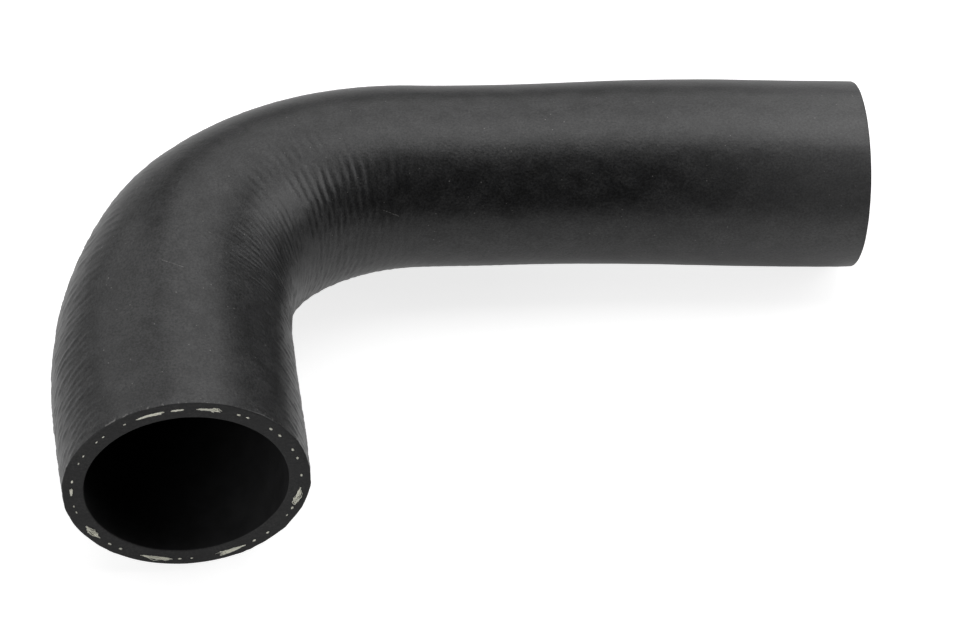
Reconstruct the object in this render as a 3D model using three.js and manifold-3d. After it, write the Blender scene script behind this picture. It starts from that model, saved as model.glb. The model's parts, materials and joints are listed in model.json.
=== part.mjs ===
// Air intake hose: one moulded rubber piece, a right-angle elbow that narrows from one end to the other.
// Millimetres, +Z up. The hose lies on its side as it comes to rest, and the origin is on the surface
// that it lies on, under the middle of its box. The large end faces -Y and the small end faces +X.

import * as THREE from 'three';
import { ConvexHull } from 'three/addons/math/ConvexHull.js';
import { LoftGeometry } from 'three/addons/geometries/LoftGeometry.js';
import { mergeVertices, toCreasedNormals } from 'three/addons/utils/BufferGeometryUtils.js';
import Module from 'manifold-3d';

// Ends and wall
const largeBore = 50;
const smallBore = 38;
const wall = 5.3;
const edgeRound = 0.6;

// Centre line: a straight leg behind the large end, the bend, and the long arm to the small end
const legLength = 44.7;
const bendRadius = 62.6;
const bendAngle = 90;
const bendEase = 0.22; // share by which the bend is tighter at its start and slacker at its end
const armLength = 115.4;
const armBow = 1.1; // how far the arm bows away from the large end

// Outer surface: the leg's draft, the taper through the bend, the neck and the flare to the small end
const legDraft = 0.8;
const taperLead = 9.8; // from the start of the bend to the start of the taper
const taperRunOut = 7.4; // from the end of the bend to the end of the taper
const neckDraft = 0.9; // how much smaller the neck's radius is than the small end's
const flareLead = 22.8; // from the end of the bend to the start of the flare
const flareLength = 59.3;

// Give of the rubber in the bend: it flattens a little, and its outside has a soft heel, then a dip
const squeeze = 0.084;
const heelBulge = 1.4;
const heelBulgePlace = -14;
const heelBulgeReach = 34.3;
const heelDip = 2;
const heelDipPlace = 14.7;
const heelDipReach = 25.4;

// Knitted reinforcement, which shows as a ring of cut yarn ends in both end faces
const yarnLoops = 20;
const yarnDepth = 0.43; // place in the wall, as a share of it, from the outside
const yarnWidth = 0.9;
const yarnProud = 0.25;
const yarnRoot = 0.5; // how far an end reaches into the wall
const longYarn = 6;
const shortYarn = 0.9;
const shortYarnPair = 3; // spacing of the two short ends of one loop
const longLoops = [4, 6, 12, 14, 16, 19]; // the loops that the cut runs along
const firstLoop = 6.5; // degrees up from the side that faces away from the outside of the bend

// The hose lies on a side of its hull whose outward normal falls at least this steeply
const lowSideSlope = -0.8;

// Fineness of the faceted surface
const pointsRound = 44;
const legPitch = 7.5;
const bendPitch = 6;
const armPitch = 9;
const edgeSteps = 2;
const yarnFacet = 2;
const centreStrides = 64;
const crease = 30; // degrees between two faces that are shaded as an edge

const { clamp, degToRad, smoothstep } = THREE.MathUtils;
const up = new THREE.Vector3(0, 0, 1);
const turn = degToRad(bendAngle);
const bendLength = bendRadius * turn;
const mouth = -legLength;
const tail = bendLength + armLength;
const mouthRadius = largeBore / 2 + wall;
const cuffRadius = smallBore / 2 + wall;

// A place on the hose is s millimetres along its centre line, counted from the start of the bend
function heading(s) {
  const share = clamp(s / bendLength, 0, 1);
  const left = turn * (1 - share - bendEase * share * (1 - share));
  return new THREE.Vector3(Math.cos(left), Math.sin(left), 0);
}

function centre(s) {
  const armShare = (s - bendLength) / armLength;
  if (armShare >= 0) {
    return new THREE.Vector3(s - bendLength, armBow * Math.sin(Math.PI * armShare) ** 2, 0);
  }
  // The bend ends at the origin, and is walked back from there
  const point = new THREE.Vector3();
  const stride = (bendLength - s) / centreStrides;
  for (let i = 0; i < centreStrides; i++) {
    point.addScaledVector(heading(bendLength - (i + 0.5) * stride), -stride);
  }
  return point;
}

function towardsOutside(s) {
  return new THREE.Vector3().crossVectors(up, heading(s));
}

function outerRadius(s) {
  const rootRadius = mouthRadius - legDraft;
  const neckRadius = cuffRadius - neckDraft;
  const leg = smoothstep(s, mouth, 0);
  const taper = smoothstep(s, taperLead, bendLength + taperRunOut);
  const flare = smoothstep(s, bendLength + flareLead, bendLength + flareLead + flareLength);
  return mouthRadius - legDraft * leg + (neckRadius - rootRadius) * taper + neckDraft * flare;
}

function swell(s, place, reach) {
  const share = clamp((s - place) / reach, -1, 1);
  return 0.5 + 0.5 * Math.cos(Math.PI * share);
}

function heel(s) {
  const bulge = heelBulge * swell(s, heelBulgePlace, heelBulgeReach);
  const dip = heelDip * swell(s, heelDipPlace, heelDipReach);
  return bulge - dip;
}

// One ring of points round the hose, inset from its outer surface
function ring(s, inset) {
  const middle = centre(s);
  const outside = towardsOutside(s);
  const radius = outerRadius(s) - inset;
  const flattened = radius * (1 - squeeze * Math.sin(Math.PI * clamp(s / bendLength, 0, 1)) ** 2);
  const points = [];
  for (let i = 0; i < pointsRound; i++) {
    const angle = (2 * Math.PI * i) / pointsRound;
    const across = flattened * Math.cos(angle) + heel(s) * Math.max(0, Math.cos(angle));
    const rise = radius * Math.sin(angle);
    points.push(middle.clone().addScaledVector(outside, across).addScaledVector(up, rise));
  }
  return points;
}

// Places from one to the other, the last left out
function steps(from, to, pitch) {
  const count = Math.ceil((to - from) / pitch);
  return Array.from({ length: count }, (_, i) => from + ((to - from) * i) / count);
}

// A quarter round at one edge of the wall, as places and insets
function roundedEdge(s, inset, startAngle) {
  const edge = [];
  for (let i = 0; i <= edgeSteps; i++) {
    const angle = degToRad(startAngle + (90 * i) / edgeSteps);
    edge.push([s + edgeRound * Math.cos(angle), inset + edgeRound * Math.sin(angle)]);
  }
  return edge;
}

// The wall's outline, once round: out along the surface, across the small end, and back along the bore
function wallOutline() {
  const first = mouth + edgeRound;
  const last = tail - edgeRound;
  const places = [
    ...steps(first, 0, legPitch),
    ...steps(0, bendLength, bendPitch),
    ...steps(bendLength, last, armPitch),
  ].slice(1);
  return [
    ...places.map((s) => [s, 0]),
    ...roundedEdge(last, edgeRound, -90),
    ...roundedEdge(last, wall - edgeRound, 0),
    ...places.reverse().map((s) => [s, wall]),
    ...roundedEdge(first, wall - edgeRound, 90),
    ...roundedEdge(first, edgeRound, 180),
  ];
}

function hoseWall() {
  const sections = wallOutline().map(([s, inset]) => ring(s, inset));
  return new LoftGeometry([...sections, sections[0]]);
}

// A cut yarn end: a flat bar that follows the wall, between two angles
function yarnEnd(radius, middleAngle, length) {
  const half = length / radius / 2;
  const outline = new THREE.Shape();
  outline.absarc(0, 0, radius + yarnWidth / 2, middleAngle - half, middleAngle + half, false);
  outline.absarc(0, 0, radius - yarnWidth / 2, middleAngle + half, middleAngle - half, true);
  const depth = yarnRoot + yarnProud;
  const curveSegments = Math.ceil(length / yarnFacet);
  const bar = new THREE.ExtrudeGeometry(outline, { depth, curveSegments, bevelEnabled: false });
  return bar.translate(0, 0, -yarnRoot);
}

// The ring of yarn ends in one end face. It faces back from the large end and on from the small end.
function yarnRing(s, facing) {
  const radius = outerRadius(s) - yarnDepth * wall;
  const outside = towardsOutside(s).multiplyScalar(facing);
  const outward = heading(s).multiplyScalar(facing);
  const place = new THREE.Matrix4().makeBasis(outside, up, outward).setPosition(centre(s));
  const ends = [];
  for (let loop = 0; loop < yarnLoops; loop++) {
    const angle = degToRad(firstLoop) + (2 * Math.PI * loop) / yarnLoops;
    if (longLoops.includes(loop)) {
      ends.push(yarnEnd(radius, angle, longYarn));
    } else {
      const spread = shortYarnPair / radius / 2;
      ends.push(yarnEnd(radius, angle - spread, shortYarn), yarnEnd(radius, angle + spread, shortYarn));
    }
  }
  return ends.map((end) => end.applyMatrix4(place));
}

const wasm = await Module();
wasm.setup();

function toSolid(geometry) {
  const bare = new THREE.BufferGeometry().copy(geometry);
  bare.deleteAttribute('normal');
  bare.deleteAttribute('uv');
  const merged = mergeVertices(bare);
  const vertProperties = merged.attributes.position.array;
  const triVerts = new Uint32Array(merged.index.array);
  return new wasm.Manifold(new wasm.Mesh({ numProp: 3, vertProperties, triVerts }));
}

function toGeometry(solid) {
  const mesh = solid.getMesh();
  const geometry = new THREE.BufferGeometry();
  geometry.setAttribute('position', new THREE.BufferAttribute(mesh.vertProperties, 3));
  geometry.setIndex(new THREE.BufferAttribute(mesh.triVerts, 1));
  return geometry;
}

function centreOfMass(geometry) {
  const corners = geometry.attributes.position;
  const a = new THREE.Vector3();
  const b = new THREE.Vector3();
  const c = new THREE.Vector3();
  const moment = new THREE.Vector3();
  let volume = 0;
  for (let i = 0; i < corners.count; i += 3) {
    a.fromBufferAttribute(corners, i);
    b.fromBufferAttribute(corners, i + 1);
    c.fromBufferAttribute(corners, i + 2);
    const wedge = b.clone().cross(c).dot(a) / 6;
    volume += wedge;
    moment.add(a.add(b).add(c).multiplyScalar(wedge));
  }
  return moment.divideScalar(4 * volume);
}

// The hose settles on the side of its convex hull that is nearest below its centre of mass
function layDown(mesh) {
  const balance = centreOfMass(mesh.geometry);
  const hull = new ConvexHull().setFromObject(mesh);
  const lowSides = hull.faces.filter((face) => face.normal.z < lowSideSlope);
  lowSides.sort((one, other) => other.distanceToPoint(balance) - one.distanceToPoint(balance));
  mesh.quaternion.setFromUnitVectors(lowSides[0].normal, up.clone().negate());
  const box = new THREE.Box3().setFromObject(mesh, true);
  const middle = box.getCenter(new THREE.Vector3());
  mesh.position.set(-middle.x, -middle.y, -box.min.z);
}

const yarn = [...yarnRing(mouth, -1), ...yarnRing(tail, 1)];
const body = yarn.reduce((solid, end) => solid.add(toSolid(end)), toSolid(hoseWall()));
const rubber = new THREE.MeshStandardMaterial({ color: 0x242424, roughness: 0.75, metalness: 0 });

const hose = new THREE.Mesh(toCreasedNormals(toGeometry(body), degToRad(crease)), rubber);
hose.name = 'hose';
layDown(hose);

const airIntakeHose = new THREE.Group();
airIntakeHose.add(hose);

export default airIntakeHose;
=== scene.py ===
# Air intake hose: one moulded rubber piece, with a ring of cut yarn ends in each of its two end faces.
# Metres, +Z up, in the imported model's frame: the hose lies as it comes to rest, its large end facing -Y
# and its small end +X.

import json
from math import ceil, cos, pi, radians, sin

import bpy
from mathutils import Euler, Matrix, Vector


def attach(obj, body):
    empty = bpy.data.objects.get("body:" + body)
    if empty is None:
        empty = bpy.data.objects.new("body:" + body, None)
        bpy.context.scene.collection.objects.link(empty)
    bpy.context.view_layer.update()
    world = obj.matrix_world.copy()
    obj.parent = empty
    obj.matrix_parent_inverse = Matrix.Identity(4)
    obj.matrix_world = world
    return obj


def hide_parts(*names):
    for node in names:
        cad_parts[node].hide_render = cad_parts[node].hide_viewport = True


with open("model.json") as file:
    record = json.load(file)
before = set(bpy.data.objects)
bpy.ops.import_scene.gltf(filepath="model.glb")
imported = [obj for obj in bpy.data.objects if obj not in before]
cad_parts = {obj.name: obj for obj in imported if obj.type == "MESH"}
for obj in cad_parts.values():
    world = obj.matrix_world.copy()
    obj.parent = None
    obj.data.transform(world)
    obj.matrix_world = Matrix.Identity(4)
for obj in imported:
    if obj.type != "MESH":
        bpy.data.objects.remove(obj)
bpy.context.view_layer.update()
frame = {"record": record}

bl_info = {
    "name": "Air Intake Hose",
    "version": (1, 0, 0),
    "blender": (4, 5, 0),
    "location": "3D View > Sidebar > Intake Hose",
    "description": "Builds a moulded rubber intake hose, its cut yarn ends, and a stage to look at it on",
    "category": "Object",
}

MM = 0.001
UP = Vector((0, 0, 1))

# Spacing of the points along the centre line
LINE_PITCH = 0.5 * MM

# Rows of the wall's mesh: along the skin of the leg, of the stretch with the ripples and of the arm, then
# round each cut edge, down each cut face, and back along the bore
RIPPLED_FROM, RIPPLED_TO = 22 * MM, 135 * MM
LEG_ROWS, RIPPLED_ROWS, ARM_ROWS = 158, 206, 40
EDGE_ROWS, FACE_ROWS, BORE_ROWS = 6, 10, 50

# Points of a mesh that are closer than this become one
WELD = 0.01 * MM

# Patterns on the hose are drawn on it as if it were a straight pipe of this radius along X
PATTERN_RADIUS = 30 * MM

# Fibres of the cut yarn: the share of an arc that one may lack at either end, the points along it and round
# it, and the fineness and reach of its fraying
FIBRE_LACK = 0.26
FIBRE_POINTS, FIBRE_SIDES = 8, 5
FRAY_SCALE, FRAY_REACH = 1500.0, 2.4

# Softboxes, each with its place, width and height
LAMPS = {
    "overhead": ((0.00, 0.33, 1.21), (1.6, 0.8)),
    "back": ((0.19, 0.98, 0.75), (0.94, 0.97)),
    "left": ((-0.86, 0.72, 0.58), (1.1, 0.85)),
    "right": ((1.05, 0.16, 0.64), (0.9, 0.76)),
    "front": ((-0.87, -0.60, 0.33), (0.9, 0.6)),
}
FLOOR_HALF_WIDTH = 6.0

# The camera's lens in mm, and its turn in degrees
CAMERA_LENS = 187.5
CAMERA_PLACE = (-0.169219, -0.798054, 0.999343)
CAMERA_TURN = (39.41634, -5.26477, -5.91235)


# Sizes, colours and light that a user would change


def length(name, default, description):
    """A length property, in metres."""
    return bpy.props.FloatProperty(
        name=name, description=description, default=default, unit="LENGTH", subtype="DISTANCE", precision=5
    )


def share(name, default, description):
    """A property without a unit."""
    return bpy.props.FloatProperty(name=name, description=description, default=default, precision=3)


def count(name, default, description):
    """A whole number of things, at least one."""
    return bpy.props.IntProperty(name=name, description=description, default=default, min=1)


def colour(name, default, description):
    """A linear colour."""
    return bpy.props.FloatVectorProperty(
        name=name, description=description, default=default, size=3, subtype="COLOR", min=0, max=1
    )


class HoseShape(bpy.types.PropertyGroup):
    large_bore: length("Large bore", 50 * MM, "Bore of the large end")
    small_bore: length("Small bore", 38 * MM, "Bore of the small end")
    wall: length("Wall", 5.3 * MM, "Thickness of the wall")
    edge_round: length("Edge round", 0.3 * MM, "Rounding of the wall's cut edges")
    leg_length: length("Leg length", 44.7 * MM, "Straight length behind the large end")
    bend_radius: length("Bend radius", 62.6 * MM, "Mean radius of the bend's centre line")
    bend_angle: bpy.props.FloatProperty(
        name="Bend angle", description="Turn of the bend", default=radians(90), unit="ROTATION", subtype="ANGLE"
    )
    bend_ease: share("Bend ease", 0.22, "How much tighter the bend starts than it ends")
    arm_length: length("Arm length", 115.4 * MM, "Length from the bend to the small end")
    arm_bow: length("Arm bow", 1.1 * MM, "How far the arm bows away from the large end")
    leg_draft: length("Leg draft", 0.8 * MM, "How much the leg's radius shrinks towards the bend")
    taper_lead: length("Taper lead", 9.8 * MM, "From the start of the bend to the start of the taper")
    taper_run_out: length("Taper run-out", 7.4 * MM, "From the end of the bend to the end of the taper")
    neck_draft: length("Neck draft", 0.9 * MM, "How much smaller the neck's radius is than the small end's")
    flare_lead: length("Flare lead", 22.8 * MM, "From the end of the bend to the start of the flare")
    flare_length: length("Flare length", 59.3 * MM, "Length of the flare to the small end")
    squeeze: share("Squeeze", 0.084, "How much the bend is flattened across")
    heel_bulge: length("Heel bulge", 1.6 * MM, "Height of the soft heel on the outside of the bend")
    heel_bulge_place: length("Heel bulge place", -14 * MM, "Middle of the heel, from the start of the bend")
    heel_bulge_reach: length("Heel bulge reach", 34.3 * MM, "Half the length of the heel")
    heel_dip: length("Heel dip", 1.6 * MM, "Depth of the dip after the heel")
    heel_dip_place: length("Heel dip place", 14.7 * MM, "Middle of the dip, from the start of the bend")
    heel_dip_reach: length("Heel dip reach", 25.4 * MM, "Half the length of the dip")
    sway: length("Sway", 0.25 * MM, "Slow unevenness of the outside")
    cuff_sway: length("Cuff sway", 0.45 * MM, "Unevenness of the outside at its two ends")
    ripple: length("Ripple", 0.135 * MM, "Height of the ripples on the inside of the bend")
    ripple_pitch: length("Ripple pitch", 3.1 * MM, "Spacing of the ripples along the centre line")
    rib_height: length("Rib height", 0.19 * MM, "Height of the cloth wrapping's ribs on the leg and the bend")
    rib_pitch: length("Rib pitch", 2.3 * MM, "Spacing of the ribs along the centre line")
    rib_bow: length("Rib bow", 9 * MM, "How far the ribs bow towards the small end on top")
    lying_flat: length("Lying flat", 0.06 * MM, "How much the line that the hose lies on is pressed in")
    cut_wander: length("Cut wander", 0.35 * MM, "Unevenness of the two cuts")
    columns: count("Columns", 164, "Points round the wall")


class YarnLook(bpy.types.PropertyGroup):
    depth: share("Depth", 0.43, "Place of the yarn in the wall, as a share of it, from the outside")
    proud: length("Proud", 0.02 * MM, "How far the yarn stands out of the cut face")
    filaments: count("Filaments", 22, "Fine fibres in one cut end")
    filament_radius: length("Filament radius", 0.08 * MM, "Radius of one fibre")
    fullness: share("Fullness", 1.0, "Width of the cut ends, as a share of their usual width")


class Finish(bpy.types.PropertyGroup):
    rubber: colour("Rubber", (0.0056, 0.0058, 0.0063), "Colour of the skin")
    # The skin's colour is painted lighter towards the small end
    small_end_colour: colour("Small end colour", (0.062, 0.062, 0.063), "Colour of the skin where wax has bloomed near the small end")
    cut_rubber: colour("Cut rubber", (0.027, 0.027, 0.0275), "Colour of the two cut faces")
    bore_rubber: colour("Bore rubber", (0.015, 0.015, 0.0155), "Colour of the bore")
    yarn: colour("Yarn", (0.95, 0.94, 0.82), "Colour of the cut yarn ends")
    dust: colour("Dust", (0.30, 0.29, 0.28), "Colour of the dust on the skin")


class Studio(bpy.types.PropertyGroup):
    floor: colour("Floor", (0.62, 0.62, 0.62), "Colour of the floor")
    lift: share("Lift", 0.79, "How much lighter the floor looks to the camera")
    gloss_lift: share("Gloss lift", 0.42, "How much lighter the floor looks in reflections, close to the hose")
    overhead: share("Overhead", 2.05, "Radiance of the large light overhead")
    back: share("Back", 1.2, "Radiance of the light behind")
    left: share("Left", 1.0, "Radiance of the light on the back left")
    right: share("Right", 2.35, "Radiance of the light on the right")
    front: share("Front", 3.1, "Radiance of the light on the front left")
    room: share("Room", 0.03, "Radiance of the room all round")


# Node trees


class Wire:
    """An output of a node. Sums that are written with wires become nodes in the same tree."""

    def __init__(self, socket):
        self.socket = socket
        self.tree = socket.id_data

    def math(self, operation, *values):
        return calculate(self.tree, "ShaderNodeMath", operation, self, *values)

    def vector(self, operation, *values):
        return calculate(self.tree, "ShaderNodeVectorMath", operation, self, *values)

    def __add__(self, other):
        return self.math("ADD", other)

    def __sub__(self, other):
        return self.math("SUBTRACT", other)

    def __rsub__(self, other):
        return calculate(self.tree, "ShaderNodeMath", "SUBTRACT", other, self)

    def __mul__(self, other):
        return self.math("MULTIPLY", other)

    def __truediv__(self, other):
        return self.math("DIVIDE", other)

    def __rtruediv__(self, other):
        return calculate(self.tree, "ShaderNodeMath", "DIVIDE", other, self)

    def sine(self):
        return self.math("SINE")

    def cosine(self):
        return self.math("COSINE")

    def squared(self):
        return self.math("MULTIPLY", self)

    def limited(self, low, high):
        return self.math("MAXIMUM", low).math("MINIMUM", high)

    def ramp(self, low, high, start=0, end=1, easing="SMOOTHSTEP"):
        """The value carried over from low..high to start..end, and held outside it."""
        fields = {"Value": self, "From Min": low, "From Max": high, "To Min": start, "To Max": end}
        return out(put(self.tree, "ShaderNodeMapRange", fields, interpolation_type=easing), "Result")

    def parts(self):
        node = put(self.tree, "ShaderNodeSeparateXYZ", {"Vector": self})
        return [Wire(socket) for socket in node.outputs]


def feed(socket, value):
    if isinstance(value, Wire):
        socket.id_data.links.new(value.socket, socket)
    else:
        socket.default_value = value


def put(tree, kind, fields=None, **settings):
    """Adds a node, with its settings and with its inputs by name."""
    node = tree.nodes.new(kind)
    for name, value in settings.items():
        setattr(node, name, value)
    for name, value in (fields or {}).items():
        feed(next(slot for slot in node.inputs if slot.enabled and slot.name == name), value)
    return node


def out(node, name):
    return Wire(next(socket for socket in node.outputs if socket.enabled and socket.name == name))


def through(geometry, kind, fields=None, **settings):
    """The geometry after one more node."""
    return out(put(geometry.tree, kind, {"Geometry": geometry, **(fields or {})}, **settings), "Geometry")


def calculate(tree, kind, operation, *values):
    node = put(tree, kind, operation=operation)
    for slot, value in zip((slot for slot in node.inputs if slot.enabled), values):
        feed(slot, value)
    return Wire(next(socket for socket in node.outputs if socket.enabled))


def joined(tree, x, y, z):
    return out(put(tree, "ShaderNodeCombineXYZ", {"X": x, "Y": y, "Z": z}), "Vector")


def noise(place, size, detail=2.0, roughness=0.5, distortion=0.0):
    """Noise from 0 to 1 whose blots are about as large as size."""
    fields = {
        "Vector": place,
        "Scale": 1.0 / size,
        "Detail": detail,
        "Roughness": roughness,
        "Distortion": distortion,
    }
    return out(put(place.tree, "ShaderNodeTexNoise", fields), "Fac")


SOCKETS = {float: "NodeSocketFloat", int: "NodeSocketInt", Vector: "NodeSocketVector"}


def new_tree(name, kind, inputs, outputs):
    """A node tree with named inputs and outputs, the wires of its inputs by name, and its output node.

    An input is given by its default value, or by its kind of socket where it has none.
    """
    tree = bpy.data.node_groups.new(name, kind)
    for label, value in inputs.items():
        kind_of_socket = SOCKETS.get(type(value), value)
        socket = tree.interface.new_socket(label, in_out="INPUT", socket_type=kind_of_socket)
        if kind_of_socket is not value:
            socket.default_value = value
    for label, kind_of_socket in outputs.items():
        tree.interface.new_socket(label, in_out="OUTPUT", socket_type=kind_of_socket)
    inlet = tree.nodes.new("NodeGroupInput")
    wires = {socket.name: Wire(socket) for socket in inlet.outputs if socket.name}
    return tree, wires, tree.nodes.new("NodeGroupOutput")


def named_sizes(group):
    """A property group's numbers, by their labels."""
    fields = [field for field in group.bl_rna.properties if field.type in {"FLOAT", "INT"}]
    return {field.name: getattr(group, field.identifier) for field in fields}


# The hose's shape. A place on it is along, in metres from the start of the bend, at an angle round it that
# is 0 on the outside of the bend and 90 degrees on top. It is drawn flat, its bend ending at the origin.


def bend_length(shape):
    return shape.bend_radius * shape.bend_angle


def heading(shape, along):
    part = min(max(along / bend_length(shape), 0), 1)
    left = shape.bend_angle * (1 - part - shape.bend_ease * part * (1 - part))
    return Vector((cos(left), sin(left), 0))


def centre_line(shape):
    """Points of the centre line, from the large end to the small end."""
    run = shape.leg_length + bend_length(shape)
    strides = ceil(run / LINE_PITCH)
    stride = run / strides
    line = [Vector()]
    for i in range(strides):
        line.insert(0, line[0] - heading(shape, bend_length(shape) - (i + 0.5) * stride) * stride)
    steps = ceil(shape.arm_length / LINE_PITCH)
    for i in range(1, steps + 1):
        part = i / steps
        line.append(Vector((shape.arm_length * part, shape.arm_bow * sin(pi * part) ** 2, 0)))
    return line


def spread(start, end, steps):
    """Evenly spread numbers from start up to but not including end."""
    return [start + (end - start) * i / steps for i in range(steps)]


def wall_rows(shape):
    """The wall's outline once round, as (along, depth into the wall, height on the bake sheet)."""
    mouth = -shape.leg_length
    tail = bend_length(shape) + shape.arm_length
    edge = shape.edge_round
    wall = shape.wall
    first, last = mouth + edge, tail - edge

    def corner(along, depth, start):
        turns = [start + quarter * pi / 2 for quarter in spread(0, 1, EDGE_ROWS)]
        return [(along + edge * cos(turn), depth + edge * sin(turn)) for turn in turns]

    skin = spread(first, RIPPLED_FROM, LEG_ROWS) + spread(RIPPLED_FROM, RIPPLED_TO, RIPPLED_ROWS)
    skin = [(along, 0) for along in skin + spread(RIPPLED_TO, last, ARM_ROWS)]
    small_end = corner(last, edge, -pi / 2)
    small_end += [(tail, depth) for depth in spread(edge, wall - edge, FACE_ROWS)]
    bore = corner(last, wall - edge, 0) + [(along, wall) for along in spread(last, first, BORE_ROWS)]
    large_end = corner(first, wall - edge, pi / 2)
    large_end += [(mouth, depth) for depth in spread(wall - edge, edge, FACE_ROWS)]
    large_end += corner(first, edge, pi)
    rows = []
    for band, low, high in (
        (skin, 0, 0.60),
        (small_end, 0.60, 0.70),
        (bore, 0.70, 0.90),
        (large_end, 0.90, 1),
    ):
        rows += [Vector((*row, height)) for row, height in zip(band, spread(low, high, len(band)))]
    return rows + [Vector((first, 0, 1))]


def lying_place(shape):
    """The matrix from the hose as drawn to the hose as it lies, from its two end faces in the record."""
    faces = {mount["name"]: mount for mount in frame["record"]["mounts"]}
    small_end = faces["small_end_face"]
    arm = Vector(small_end["axis"])
    leg = -Vector(faces["large_end_face"]["axis"])
    turn = Matrix((arm, leg, arm.cross(leg))).transposed()
    # The record's point on the small end face is in the middle of the wall, this far round it
    angle = radians(15.5)
    radius = (shape.small_bore + shape.wall) / 2
    drawn = Vector((shape.arm_length, radius * cos(angle), radius * sin(angle)))
    return Matrix.Translation(Vector(small_end["pos_m"]) - turn @ drawn) @ turn.to_4x4()


def rib_wave(place, pitch, bow, patch_size):
    """Broken ridges round the hose, from 0 to 1, at a place in the straight attribute's terms."""
    along, _, rise = place.parts()
    bowed = along - rise / PATTERN_RADIUS * bow
    wave = ((bowed / pitch + noise(place, 7 * MM, detail=0.5)) * (2 * pi)).sine() * 0.5 + 0.5
    return wave * noise(place, patch_size, detail=1).ramp(0.40, 0.62, 0.05, 1)


def skin_relief(wires, straight, along, across, rise, ends):
    """How far the skin stands out of its smooth form: slow sway, ripples inside the bend, and ribs."""
    sway = (noise(straight, 30 * MM, detail=1) - 0.5) * wires["Sway"]
    cuff = (noise(straight, 11 * MM, detail=1) - 0.5) * wires["Cuff sway"] * ends

    # The ripples are strongest inside the bend's second half, and a few run on along the arm
    wander = noise(straight, 16 * MM, detail=1) * 0.8
    ripple = ((along / wires["Ripple pitch"] + wander) * (2 * pi)).sine() * wires["Ripple"] / 2
    patch = noise(straight, 8 * MM, detail=1).ramp(0.36, 0.58, 0.12, 1)
    fade = along.ramp(74 * MM, 100 * MM, 0.6, 0) + along.ramp(95 * MM, 165 * MM, 0.4, 0)
    waist = along.ramp(RIPPLED_FROM, 55 * MM) * fade
    inner = across.ramp(-0.75, 0.25, 1, 0.08)

    leg = along.ramp(40 * MM, 110 * MM, 1, 0.15) * rise.ramp(0.4, 0.93, 1, 0.15)
    ribs = (rib_wave(straight, wires["Rib pitch"], wires["Rib bow"], 2.4 * MM) - 0.25) * leg
    uneven = sway + cuff + ripple * patch * waist * inner + ribs * wires["Rib height"]

    # The line that the hose lies on is even and a little flat, so that nothing reaches into the floor
    lying = rise.ramp(-1, -0.9, 1, 0)
    return uneven * (1 - lying) - wires["Lying flat"] * lying


def smooth_radius(wires, along, bend):
    """The outside's radius: the leg's draft, the taper through the bend, the neck and the flare."""
    mouth_radius = wires["Large bore"] / 2 + wires["Wall"]
    cuff_radius = wires["Small bore"] / 2 + wires["Wall"]
    root_radius = mouth_radius - wires["Leg draft"]
    neck_radius = cuff_radius - wires["Neck draft"]
    flare_start = bend + wires["Flare lead"]
    draft = along.ramp(wires["Leg length"] * -1, 0) * wires["Leg draft"]
    taper = along.ramp(wires["Taper lead"], bend + wires["Taper run-out"]) * (neck_radius - root_radius)
    flare = along.ramp(flare_start, flare_start + wires["Flare length"]) * wires["Neck draft"]
    return mouth_radius - draft + taper + flare


def swell(wires, along, name):
    """A soft rise of the named height, at its named place."""
    part = ((along - wires[name + " place"]) / wires[name + " reach"]).limited(-1, 1)
    return ((part * pi).cosine() * 0.5 + 0.5) * wires[name]


def on_faces(value):
    """The value, averaged over the corners of each face."""
    node = put(value.tree, "GeometryNodeFieldOnDomain", {"Value": value}, data_type="FLOAT", domain="FACE")
    return out(node, "Value")


def finished(geometry, *materials):
    """The geometry, smooth and realized, with each material on the faces that are selected for it."""
    geometry = through(geometry, "GeometryNodeSetShadeSmooth")
    geometry = through(geometry, "GeometryNodeRealizeInstances")
    for material, where in materials:
        geometry = through(geometry, "GeometryNodeSetMaterial", {"Material": material, "Selection": where})
    return geometry


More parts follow.
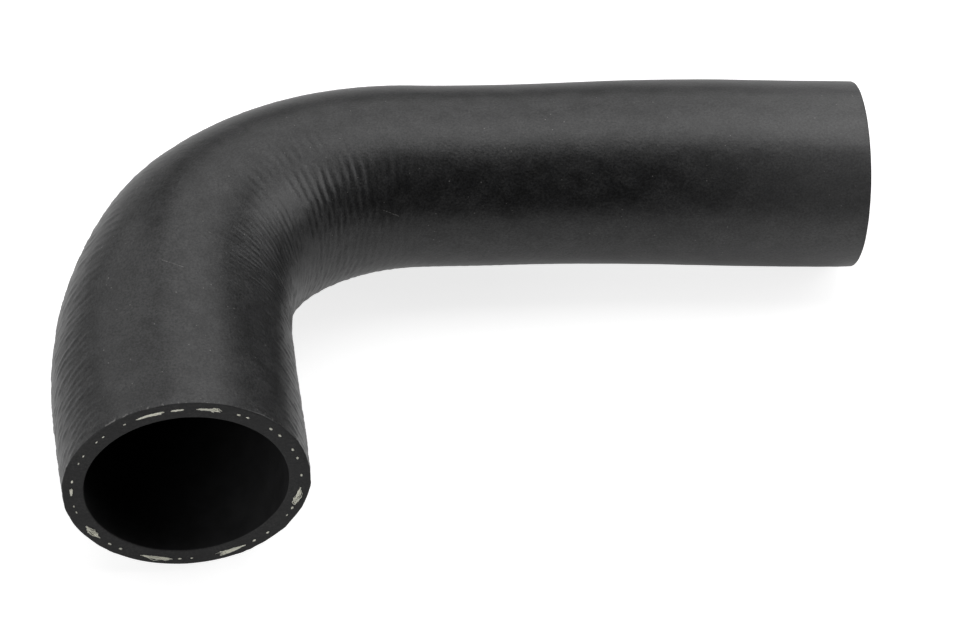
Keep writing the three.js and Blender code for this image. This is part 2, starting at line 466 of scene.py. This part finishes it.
def wall_tree(shape, skin, cut, bore):
    """Geometry Nodes for the wall. They bend a grid, one row of it for each row of the wall's outline."""
    inputs = {"Rows": "NodeSocketGeometry", "Centre line": "NodeSocketObject", **named_sizes(shape)}
    tree, wires, end = new_tree("Hose wall", "GeometryNodeTree", inputs, {"Geometry": "NodeSocketGeometry"})

    rows = wires["Rows"]
    row_count = out(put(tree, "GeometryNodeAttributeDomainSize", {"Geometry": rows}), "Point Count")
    fields = {"Size X": 1, "Size Y": 1, "Vertices X": wires["Columns"] + 1, "Vertices Y": row_count}
    grid = put(tree, "GeometryNodeMeshGrid", fields)
    turn, row_share, _ = out(grid, "UV Map").parts()
    row = (row_share * (row_count - 1)).math("ROUND")
    position = out(put(tree, "GeometryNodeInputPosition"), "Position")
    fields = {"Geometry": rows, "Value": position, "Index": row}
    sample = put(tree, "GeometryNodeSampleIndex", fields, data_type="FLOAT_VECTOR", domain="POINT")
    along, depth, sheet = out(sample, "Value").parts()

    bend = wires["Bend radius"] * wires["Bend angle"]
    mouth = wires["Leg length"] * -1
    tail = bend + wires["Arm length"]

    # The seam of the bake sheet runs along the underside
    angle = (turn + 0.25) * (-2 * pi)
    across, rise = angle.cosine(), angle.sine()
    reference = PATTERN_RADIUS - depth
    straight = joined(tree, along, across * reference, rise * reference)
    cuff_length = 14 * MM
    ends = along.ramp(mouth, mouth + cuff_length, 1, 0) + along.ramp(tail - cuff_length, tail)
    outer = skin_relief(wires, straight, along, across, rise, ends)
    radius = smooth_radius(wires, along, bend) - depth
    radius = radius + outer * depth.ramp(0, wires["Wall"], 1, 0, "LINEAR")
    flat = (along / bend).limited(0, 1) * pi
    flattened = radius * (1 - wires["Squeeze"] * flat.sine().squared())
    heel = swell(wires, along, "Heel bulge") - swell(wires, along, "Heel dip")
    heel = heel * across.math("MAXIMUM", 0)
    rim = joined(tree, across * PATTERN_RADIUS, rise * PATTERN_RADIUS, along)
    cut_wander = (noise(rim, 14 * MM, detail=2) - 0.5) * wires["Cut wander"] * ends

    line = put(tree, "GeometryNodeObjectInfo", {"Object": wires["Centre line"]})
    fields = {"Curves": out(line, "Geometry"), "Length": along - mouth}
    place = put(tree, "GeometryNodeSampleCurve", fields, mode="LENGTH")
    tangent = out(place, "Tangent")
    outside = calculate(tree, "ShaderNodeVectorMath", "CROSS_PRODUCT", UP, tangent)
    point = out(place, "Position").vector("ADD", outside.vector("SCALE", flattened * across + heel))
    point = point.vector("ADD", joined(tree, 0, 0, radius * rise))
    point = point.vector("ADD", tangent.vector("SCALE", cut_wander))

    geometry = out(grid, "Mesh")
    for name, value, kind, domain in (
        ("OFBake", joined(tree, turn, sheet, 0), "FLOAT2", "CORNER"),
        ("straight", straight, "FLOAT_VECTOR", "POINT"),
    ):
        fields = {"Name": name, "Value": value}
        geometry = through(
            geometry, "GeometryNodeStoreNamedAttribute", fields, data_type=kind, domain=domain
        )
    # Most of each rounded edge belongs to its cut
    in_bore = on_faces(depth).math("GREATER_THAN", wires["Wall"] - wires["Edge round"] * 0.3)
    from_end = (along - mouth).math("MINIMUM", tail - along)
    on_cut = on_faces(from_end).math("LESS_THAN", wires["Edge round"] * 0.6)
    geometry = through(geometry, "GeometryNodeSetPosition", {"Position": point})
    geometry = through(geometry, "GeometryNodeMergeByDistance", {"Distance": WELD})
    feed(end.inputs["Geometry"], finished(geometry, (skin, True), (bore, in_bore), (cut, on_cut)))
    return tree


def run_tree(name, host_data, tree, values, place):
    """Runs a Geometry Nodes tree on the host's data, and gives the piece that it makes as a plain mesh."""
    scene = bpy.context.scene
    host = bpy.data.objects.new(name + " source", host_data)
    modifier = host.modifiers.new(tree.name, "NODES")
    modifier.node_group = tree
    for socket in tree.interface.items_tree:
        if socket.in_out == "INPUT" and socket.name in values:
            modifier[socket.identifier] = values[socket.name]
    scene.collection.objects.link(host)
    graph = bpy.context.evaluated_depsgraph_get()
    mesh = bpy.data.meshes.new_from_object(
        host.evaluated_get(graph), preserve_all_data_layers=True, depsgraph=graph
    )
    if not mesh.polygons:
        raise RuntimeError(f"{tree.name} made no faces")
    mesh.transform(place)
    mesh.name = name
    host.modifiers.clear()
    bpy.data.objects.remove(host)
    piece = bpy.data.objects.new(name, mesh)
    scene.collection.objects.link(piece)
    return piece


def new_curve(name, lines):
    """A curve with a straight-sided spline for each line, given as (points, radii)."""
    curve = bpy.data.curves.new(name, "CURVE")
    curve.dimensions = "3D"
    for points, radii in lines:
        spline = curve.splines.new("POLY")
        spline.points.add(len(points) - 1)
        for corner, point, radius in zip(spline.points, points, radii):
            corner.co = (*point, 1)
            corner.radius = radius
    return curve


# Cut yarn ends round an end face, by angle in degrees from its right towards its top, as one looks at it:
# dots, faint dots, and strokes as (first angle, last angle, half widths in mm along it)
LARGE_END_DOTS = [6.5, 20, 27, 40, 47, 62, 67, 176, 231, 238, 270, 310, 319, 341]
LARGE_END_FAINT_DOTS = [125.5, 139, 144, 156, 162, 195, 200, 276, 335]
LARGE_END_STROKES = [
    (76, 88.5, (0.2, 0.85, 0.75, 0.3, 0.3, 0.34, 0.34)),
    (95, 101, (0.12, 0.2, 0.25, 0.22)),
    (104.5, 119, (0.36, 0.36, 0.32, 0.26, 0.22, 0.1)),
    (182, 186.5, (0.3, 0.25, 0.2)),
    (212, 224.5, (0.1, 0.3, 0.75, 0.6, 0.2, 0.1)),
    (249, 266, (0.12, 0.2, 0.55, 0.7, 0.4, 0.6, 0.25)),
    (289.5, 305, (0.6, 0.75, 0.4, 0.6, 0.3, 0.15, 0.15)),
    (344, 357, (0.3, 0.7, 0.85, 0.6, 0.35, 0.15)),
]
SMALL_END_DOTS = [4, 10, 31, 37, 77, 104, 110, 152, 171, 178, 224, 231, 262, 289, 294, 335]
SMALL_END_FAINT_DOTS = [56, 62, 131, 136, 199, 205, 268, 342]
SMALL_END_STROKES = [
    (18, 25, (0.2, 0.3, 0.2)),
    (84, 98, (0.2, 0.3, 0.45, 0.6, 0.4)),
    (116, 124, (0.15, 0.25, 0.2)),
    (158, 166, (0.3, 0.5, 0.3, 0.15)),
    (184, 193, (0.15, 0.3, 0.25)),
    (238, 255, (0.4, 0.55, 0.5, 0.3, 0.15)),
    (274, 283, (0.2, 0.25, 0.2)),
    (302, 320, (0.15, 0.3, 0.5, 0.6, 0.4)),
    (349, 358, (0.3, 0.45, 0.3)),
]
# A dot's length in degrees and its half widths in mm
DOT = (1.5, (0.11, 0.19, 0.11))
FAINT_DOT = (1.3, (0.03, 0.08, 0.03))


def yarn_arcs(shape, look):
    """Short arcs in both end faces, as (points, half widths), one down the middle of each cut yarn end."""
    line = centre_line(shape)
    large_end = (line[0], heading(shape, -shape.leg_length), shape.large_bore, -1)
    small_end = (line[-1], Vector((1, 0, 0)), shape.small_bore, 1)
    arcs = []
    for (centre, forward, bore, facing), dots, faint_dots, strokes in (
        (large_end, LARGE_END_DOTS, LARGE_END_FAINT_DOTS, LARGE_END_STROKES),
        (small_end, SMALL_END_DOTS, SMALL_END_FAINT_DOTS, SMALL_END_STROKES),
    ):
        outward = forward * facing
        sideways = UP.cross(forward) * facing
        radius = bore / 2 + shape.wall * (1 - look.depth)
        middle = centre + outward * look.proud
        marks = list(strokes)
        for places, (span, widths) in ((dots, DOT), (faint_dots, FAINT_DOT)):
            marks += [(place - span / 2, place + span / 2, widths) for place in places]
        for first, last, widths in marks:
            steps = len(widths) - 1
            angles = [radians(first + (last - first) * i / steps) for i in range(steps + 1)]
            points = [middle + (sideways * cos(angle) + UP * sin(angle)) * radius for angle in angles]
            arcs.append((points, [width * MM for width in widths]))
    return arcs


def yarn_tree(look, yarn):
    """Geometry Nodes for the cut yarn ends. They draw each arc as a bundle of fine, frayed fibres."""
    inputs = {"Arcs": "NodeSocketGeometry", **named_sizes(look)}
    tree, wires, end = new_tree("Cut yarn ends", "GeometryNodeTree", inputs, {"Geometry": "NodeSocketGeometry"})
    fields = {"Geometry": wires["Arcs"], "Amount": wires["Filaments"]}
    copies = put(tree, "GeometryNodeDuplicateElements", fields, domain="SPLINE")
    index = out(put(tree, "GeometryNodeInputIndex"), "Index")
    fibre = put(tree, "GeometryNodeFieldOnDomain", {"Value": index}, data_type="INT", domain="CURVE")
    fibre = out(fibre, "Value")

    def random(low, high, seed, kind="FLOAT"):
        fields = {"Min": low, "Max": high, "ID": fibre, "Seed": seed}
        return out(put(tree, "FunctionNodeRandomValue", fields, data_type=kind), "Value")

    start, finish = random(0, FIBRE_LACK, 1), random(1 - FIBRE_LACK, 1, 2)
    fields = {"Curve": out(copies, "Geometry"), "Start": start, "End": finish}
    trimmed = put(tree, "GeometryNodeTrimCurve", fields, mode="FACTOR")
    fields = {"Curve": out(trimmed, "Curve"), "Count": FIBRE_POINTS}
    curve = out(put(tree, "GeometryNodeResampleCurve", fields), "Curve")
    place = out(put(tree, "GeometryNodeInputPosition"), "Position")
    stray = random((-1, -1, -1), (1, 1, 1), 3, "FLOAT_VECTOR")
    fields = {"Vector": place.vector("ADD", stray), "Scale": FRAY_SCALE}
    wave = out(put(tree, "ShaderNodeTexNoise", fields), "Color")
    wave = wave.vector("SUBTRACT", (0.5, 0.5, 0.5)).vector("SCALE", FRAY_REACH)
    half_width = out(put(tree, "GeometryNodeInputRadius"), "Radius") * wires["Fullness"]
    moved = stray.vector("ADD", wave).vector("SCALE", half_width)
    # Fibres stay within a thin layer on their end face: square to X at the small end, to Y at the large end
    at_small_end = place.parts()[0].math("GREATER_THAN", 50 * MM)
    x_share = at_small_end.ramp(0, 1, 1, 0.2, "LINEAR")
    y_share = at_small_end.ramp(0, 1, 0.2, 1, "LINEAR")
    moved = moved.vector("MULTIPLY", joined(tree, x_share, y_share, 1))
    curve = through(curve, "GeometryNodeSetPosition", {"Offset": moved})
    curve = out(put(tree, "GeometryNodeSetCurveRadius", {"Curve": curve, "Radius": 1.0}), "Curve")
    fields = {"Resolution": FIBRE_SIDES, "Radius": wires["Filament radius"]}
    ring = put(tree, "GeometryNodeCurvePrimitiveCircle", fields)
    fields = {"Curve": curve, "Profile Curve": out(ring, "Curve"), "Fill Caps": True}
    geometry = out(put(tree, "GeometryNodeCurveToMesh", fields), "Mesh")
    feed(end.inputs["Geometry"], finished(geometry, (yarn, True)))
    return tree


# Finishes. Patterns on the hose read its straight attribute: the place on the hose as if it were a straight
# pipe along X, of PATTERN_RADIUS less the depth into the wall.


def wrap_ribs():
    """Fine ridges that the cloth wrapping leaves round the hose. They bow towards the small end on top."""
    inputs = {"Place": Vector(), "Pitch": 2 * MM, "Bow": 8 * MM, "Patch size": 3 * MM, "Height": 0.01 * MM}
    tree, wires, end = new_tree("Wrap ribs", "ShaderNodeTree", inputs, {"Height": "NodeSocketFloat"})
    wave = rib_wave(wires["Place"], wires["Pitch"], wires["Bow"], wires["Patch size"])
    feed(end.inputs["Height"], wave * wires["Height"])
    return tree


def knit_imprint():
    """The weave of the wrapping cloth, pressed faintly into the skin."""
    inputs = {"Place": Vector(), "Pitch": 2 * MM, "Threads round": 96.0, "Height": 0.01 * MM}
    tree, wires, end = new_tree("Knit imprint", "ShaderNodeTree", inputs, {"Height": "NodeSocketFloat"})
    along, across, rise = wires["Place"].parts()
    turns = rise.math("ARCTAN2", across) / (2 * pi) * wires["Threads round"]
    rows = along / wires["Pitch"]
    one = ((rows + turns) * (2 * pi)).sine()
    other = ((rows - turns) * (2 * pi)).sine()
    patch = noise(wires["Place"], 12 * MM, detail=2).ramp(0.40, 0.60, 0.1, 1)
    feed(end.inputs["Height"], (one.math("MAXIMUM", other) * 0.5 + 0.5) * patch * wires["Height"])
    return tree


def rubber_grain():
    """Fine pebbled grain, the lumps under it, and the slower cloudiness of moulded rubber."""
    inputs = {"Place": Vector(), "Grain height": 0.02 * MM, "Lump height": 0.04 * MM}
    outputs = {"Height": "NodeSocketFloat", "Clouds": "NodeSocketFloat", "Grain": "NodeSocketFloat"}
    tree, wires, end = new_tree("Rubber grain", "ShaderNodeTree", inputs, outputs)
    place = wires["Place"]
    grain = noise(place, 0.55 * MM, detail=2, roughness=0.6)
    lumps = noise(place, 4.5 * MM, detail=3, roughness=0.62)
    feed(end.inputs["Height"], grain * wires["Grain height"] + lumps * wires["Lump height"])
    feed(end.inputs["Grain"], grain)
    feed(end.inputs["Clouds"], noise(place, 6 * MM, detail=4, roughness=0.6, distortion=0.4))
    return tree


def settled_dust():
    """Pale specks and faint powder."""
    inputs = {"Place": Vector(), "Specks": 0.5, "Powder": 0.5}
    tree, wires, end = new_tree("Settled dust", "ShaderNodeTree", inputs, {"Mask": "NodeSocketFloat"})
    place = wires["Place"]
    cells = put(tree, "ShaderNodeTexVoronoi", {"Vector": place, "Scale": 1 / (1.6 * MM)})
    rare = out(put(tree, "ShaderNodeSeparateColor", {"Color": out(cells, "Color")}), "Red").ramp(0.86, 0.90)
    speck = out(cells, "Distance").ramp(0.05, 0.15, 1, 0) * rare * wires["Specks"]
    drift = noise(place, 6 * MM, detail=3).ramp(0.35, 0.7, 0.3, 1)
    powder = noise(place, 0.7 * MM, detail=3, roughness=0.75).ramp(0.40, 0.68) * drift * wires["Powder"]
    feed(end.inputs["Mask"], speck.math("MAXIMUM", powder))
    return tree


def scuff():
    """One thin scratch between two places."""
    inputs = {"Place": Vector(), "From": Vector(), "To": Vector(), "Width": 0.2 * MM}
    tree, wires, end = new_tree("Scuff", "ShaderNodeTree", inputs, {"Mask": "NodeSocketFloat"})
    way = wires["To"].vector("SUBTRACT", wires["From"])
    start = wires["Place"].vector("SUBTRACT", wires["From"])
    part = (start.vector("DOT_PRODUCT", way) / way.vector("DOT_PRODUCT", way)).limited(0, 1)
    off = start.vector("SUBTRACT", way.vector("SCALE", part)).vector("LENGTH")
    feed(end.inputs["Mask"], off.ramp(wires["Width"] * 0.4, wires["Width"], 1, 0))
    return tree


GROUPS = {
    "Wrap ribs": wrap_ribs,
    "Knit imprint": knit_imprint,
    "Rubber grain": rubber_grain,
    "Settled dust": settled_dust,
    "Scuff": scuff,
}


def use(tree, name, **fields):
    """Places a shared group in a material, with its own values. It is built the first time."""
    shared = bpy.data.node_groups.get(name) or GROUPS[name]()
    node = put(tree, "ShaderNodeGroup", node_tree=shared)
    for label, value in fields.items():
        feed(node.inputs[label.replace("_", " ")], value)
    return node


def new_material(name, straight=True):
    """A material, its tree, its shader, and the place that its patterns read."""
    material = bpy.data.materials.new(name)
    material.use_nodes = True
    tree = material.node_tree
    shader = tree.nodes["Principled BSDF"]
    if straight:
        place = out(put(tree, "ShaderNodeAttribute", attribute_name="straight"), "Vector")
    else:
        place = out(put(tree, "ShaderNodeTexCoord"), "Object")
    return material, tree, shader, place


def mixed(amount, one, other):
    """One colour where the amount is 0, the other where it is 1."""
    fields = {"Factor": amount, "A": one, "B": other}
    return out(put(amount.tree, "ShaderNodeMix", fields, data_type="RGBA", clamp_factor=True), "Result")


def opaque(rgb, gain=1.0):
    return (*(channel * gain for channel in rgb), 1)


def bump(shader, height):
    fields = {"Height": height, "Distance": 1.0}
    feed(shader.inputs["Normal"], out(put(height.tree, "ShaderNodeBump", fields), "Normal"))


def on_skin(along_mm, angle):
    """A place on the skin in the straight attribute's terms."""
    turn = radians(angle)
    return Vector((along_mm * MM, PATTERN_RADIUS * cos(turn), PATTERN_RADIUS * sin(turn)))


def skin_material(finish):
    material, tree, shader, place = new_material("Matte black rubber skin")
    shader.inputs["Specular IOR Level"].default_value = 0.46
    shader.inputs["Coat Roughness"].default_value = 0.36
    grain = use(tree, "Rubber grain", Place=place, Grain_height=0.025 * MM, Lump_height=0.1 * MM)
    clouds, pebbles = out(grain, "Clouds"), out(grain, "Grain")
    ribs = use(
        tree, "Wrap ribs", Place=place, Pitch=1.35 * MM, Bow=8 * MM, Patch_size=4 * MM, Height=0.008 * MM
    )
    knit = use(tree, "Knit imprint", Place=place, Pitch=2 * MM, Height=0.012 * MM)
    dust = use(tree, "Settled dust", Place=place, Specks=0.5, Powder=0.075)
    along = place.parts()[0]
    # The skin is painted lighter towards the small end, from 145 mm on
    lightened = along.ramp(145 * MM, 226 * MM)
    # Crumbs of rubber lie along the large end's edge
    crumbs = along.ramp(-44.4 * MM, -43.6 * MM, 0.4, 0) * noise(place, 1.1 * MM, detail=2).ramp(0.58, 0.68)
    leg_scuff = use(
        tree, "Scuff", Place=place, From=on_skin(2.8, 81), To=on_skin(0.3, 91), Width=0.16 * MM
    )
    bend_scuff = use(
        tree, "Scuff", Place=place, From=on_skin(82.7, 153), To=on_skin(88.2, 158), Width=0.2 * MM
    )
    scuffs = out(leg_scuff, "Mask").math("MAXIMUM", out(bend_scuff, "Mask"))
    shade = clouds * 0.4 + pebbles * 0.6
    base = mixed(shade.ramp(0.35, 0.65), opaque(finish.rubber, 0.4), opaque(finish.rubber, 1.8))
    base = mixed(lightened * pebbles.ramp(0.2, 0.8, 0.7, 1.0), base, opaque(finish.small_end_colour))
    scratched = scuffs * pebbles.ramp(0.4, 0.6, 0.1, 0.4)
    pale = out(dust, "Mask").math("MAXIMUM", scratched).math("MAXIMUM", crumbs)
    base = mixed(pale, base, opaque(finish.dust))
    feed(shader.inputs["Base Color"], base)
    roughness = clouds.ramp(0.3, 0.7, 0.33, 0.37, "LINEAR") + pebbles.ramp(0.3, 0.7, 0, 0.08)
    feed(shader.inputs["Roughness"], roughness)
    coat = (clouds * 0.25 + pebbles * 0.75).ramp(0.38, 0.62, 0.07, 0.43, "LINEAR")
    feed(shader.inputs["Coat Weight"], coat)
    height = out(grain, "Height") + out(ribs, "Height") + out(knit, "Height")
    bump(shader, height - scuffs * (0.02 * MM))
    return material


def cut_material(finish):
    material, tree, shader, place = new_material("Cut rubber")
    shader.inputs["Specular IOR Level"].default_value = 0.25
    grain = use(tree, "Rubber grain", Place=place, Grain_height=0.04 * MM, Lump_height=0.05 * MM)
    dust = use(tree, "Settled dust", Place=place, Specks=0.35, Powder=0.15)
    drag = noise(place.vector("MULTIPLY", (1, 0.3, 1)), 0.6 * MM, detail=3)
    base = mixed(drag.ramp(0.3, 0.7), opaque(finish.cut_rubber, 0.8), opaque(finish.cut_rubber, 1.2))
    base = mixed(out(dust, "Mask") * 0.5, base, opaque(finish.dust))
    feed(shader.inputs["Base Color"], base)
    feed(shader.inputs["Roughness"], drag.ramp(0.2, 0.8, 0.55, 0.75, "LINEAR"))
    bump(shader, out(grain, "Height") + drag * (0.05 * MM))
    return material


def bore_material(finish):
    material, tree, shader, place = new_material("Bore rubber")
    shader.inputs["Specular IOR Level"].default_value = 0.15
    grain = use(tree, "Rubber grain", Place=place, Grain_height=0.02 * MM, Lump_height=0.03 * MM)
    clouds = out(grain, "Clouds")
    base = mixed(clouds.ramp(0.3, 0.7), opaque(finish.bore_rubber, 0.85), opaque(finish.bore_rubber, 1.15))
    feed(shader.inputs["Base Color"], base)
    feed(shader.inputs["Roughness"], clouds.ramp(0.25, 0.8, 0.55, 0.65, "LINEAR"))
    bump(shader, out(grain, "Height"))
    return material


def yarn_material(finish):
    material, tree, shader, place = new_material("Cream yarn", straight=False)
    shader.inputs["Roughness"].default_value = 0.85
    shade = noise(place, 0.7 * MM, detail=3)
    base = mixed(shade.ramp(0.3, 0.75), opaque(finish.yarn, 0.85), opaque(finish.yarn, 1.05))
    feed(shader.inputs["Base Color"], base)
    bump(shader, noise(place, 0.12 * MM) * (0.015 * MM))
    return material


def floor_material(studio):
    material = bpy.data.materials.new("Pale floor")
    material.use_nodes = True
    tree = material.node_tree
    shader = tree.nodes["Principled BSDF"]
    shader.inputs["Base Color"].default_value = opaque(studio.floor)
    shader.inputs["Roughness"].default_value = 0.9
    shader.inputs["Specular IOR Level"].default_value = 0.2
    place = out(put(tree, "ShaderNodeTexCoord"), "Object")
    # Reflections see a lighter floor close to the hose, and more so behind it than in front of it
    right, back, _ = place.parts()
    near = place.vector("LENGTH").ramp(0.06, 0.2, 1, 0) * (right - back).ramp(-0.1, 0.1, 1.3, 0.5)
    rays = put(tree, "ShaderNodeLightPath")
    mirrored = out(rays, "Is Glossy Ray").math("MAXIMUM", out(rays, "Is Transmission Ray"))
    lift = out(rays, "Is Camera Ray") * studio.lift + mirrored * near * studio.gloss_lift
    shader.inputs["Emission Color"].default_value = (1, 1, 1, 1)
    feed(shader.inputs["Emission Strength"], lift)
    return material


# Pieces


class INTAKE_HOSE_OT_wall(bpy.types.Operator):
    """Builds the hose's wall: its skin, its two cut faces and its bore"""

    bl_idname = "intake_hose.wall"
    bl_label = "Hose Wall"

    def execute(self, context):
        scene = context.scene
        shape, finish = scene.hose_shape, scene.hose_finish
        tree = wall_tree(shape, skin_material(finish), cut_material(finish), bore_material(finish))
        rows = bpy.data.meshes.new("Wall rows")
        rows.from_pydata(wall_rows(shape), [], [])
        points = centre_line(shape)
        line = bpy.data.objects.new("Centre line", new_curve("Centre line", [(points, [1] * len(points))]))
        scene.collection.objects.link(line)
        values = {**named_sizes(shape), "Centre line": line}
        piece = run_tree("hose_wall", rows, tree, values, lying_place(shape))
        bpy.data.objects.remove(line)
        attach(piece, "root")
        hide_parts("hose")
        return {"FINISHED"}


class INTAKE_HOSE_OT_yarn_ends(bpy.types.Operator):
    """Builds the cut yarn ends in both end faces"""

    bl_idname = "intake_hose.yarn_ends"
    bl_label = "Cut Yarn Ends"

    def execute(self, context):
        scene = context.scene
        shape, look = scene.hose_shape, scene.hose_yarn
        tree = yarn_tree(look, yarn_material(scene.hose_finish))
        arcs = new_curve("Yarn arcs", yarn_arcs(shape, look))
        piece = run_tree("yarn_ends", arcs, tree, named_sizes(look), lying_place(shape))
        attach(piece, "root")
        return {"FINISHED"}


class INTAKE_HOSE_OT_stage(bpy.types.Operator):
    """Sets the floor, the lights, the room and the camera"""

    bl_idname = "intake_hose.stage"
    bl_label = "Stage"

    def execute(self, context):
        scene = context.scene
        studio = scene.hose_studio
        half = FLOOR_HALF_WIDTH
        mesh = bpy.data.meshes.new("floor")
        corners = [(-half, -half, 0), (half, -half, 0), (half, half, 0), (-half, half, 0)]
        mesh.from_pydata(corners, [], [(0, 1, 2, 3)])
        mesh.materials.append(floor_material(studio))
        floor = bpy.data.objects.new("floor", mesh)
        scene.collection.objects.link(floor)

        for name, (place, size) in LAMPS.items():
            self.lamp(scene, name, place, size, getattr(studio, name))

        world = bpy.data.worlds.new("Room")
        world.use_nodes = True
        background = world.node_tree.nodes["Background"]
        background.inputs["Color"].default_value = (1, 1, 1, 1)
        background.inputs["Strength"].default_value = studio.room
        scene.world = world

        camera = bpy.data.cameras.new("Camera")
        camera.lens = CAMERA_LENS
        camera.sensor_width = 36
        camera.clip_end = 20
        holder = bpy.data.objects.new("Camera", camera)
        holder.location = CAMERA_PLACE
        holder.rotation_euler = Euler([radians(turn) for turn in CAMERA_TURN])
        scene.collection.objects.link(holder)
        scene.camera = holder
        scene.view_settings.view_transform = "Standard"
        return {"FINISHED"}

    def lamp(self, scene, name, place, size, radiance):
        """A softbox that faces the hose, with its brightness as a radiance."""
        light = bpy.data.lights.new(name, "AREA")
        light.shape = "RECTANGLE"
        light.size, light.size_y = size
        light.energy = radiance * pi * size[0] * size[1]
        holder = bpy.data.objects.new(name, light)
        holder.location = place
        holder.rotation_euler = Vector(place).to_track_quat("Z", "Y").to_euler()
        scene.collection.objects.link(holder)


class INTAKE_HOSE_PT_panel(bpy.types.Panel):
    """Sizes, colours and pieces of the hose"""

    bl_idname = "INTAKE_HOSE_PT_panel"
    bl_label = "Intake Hose"
    bl_space_type = "VIEW_3D"
    bl_region_type = "UI"
    bl_category = "Intake Hose"

    def draw(self, context):
        scene = context.scene
        for operator, group in (
            ("intake_hose.wall", scene.hose_shape),
            ("intake_hose.yarn_ends", scene.hose_yarn),
            (None, scene.hose_finish),
            ("intake_hose.stage", scene.hose_studio),
        ):
            box = self.layout.box()
            for field in group.bl_rna.properties:
                if field.identifier not in {"rna_type", "name"}:
                    box.prop(group, field.identifier)
            if operator:
                box.operator(operator)


GROUPS_OF_PROPERTIES = {
    "hose_shape": HoseShape,
    "hose_yarn": YarnLook,
    "hose_finish": Finish,
    "hose_studio": Studio,
}
OPERATORS = (INTAKE_HOSE_OT_stage, INTAKE_HOSE_OT_wall, INTAKE_HOSE_OT_yarn_ends)


def register():
    for name, group in GROUPS_OF_PROPERTIES.items():
        bpy.utils.register_class(group)
        setattr(bpy.types.Scene, name, bpy.props.PointerProperty(type=group))
    for kind in (*OPERATORS, INTAKE_HOSE_PT_panel):
        bpy.utils.register_class(kind)


def unregister():
    for kind in (INTAKE_HOSE_PT_panel, *reversed(OPERATORS)):
        bpy.utils.unregister_class(kind)
    for name, group in reversed(GROUPS_OF_PROPERTIES.items()):
        delattr(bpy.types.Scene, name)
        bpy.utils.unregister_class(group)


def main():
    register()
    bpy.ops.intake_hose.stage()
    bpy.ops.intake_hose.wall()
    bpy.ops.intake_hose.yarn_ends()


if __name__ == "__main__":
    main()
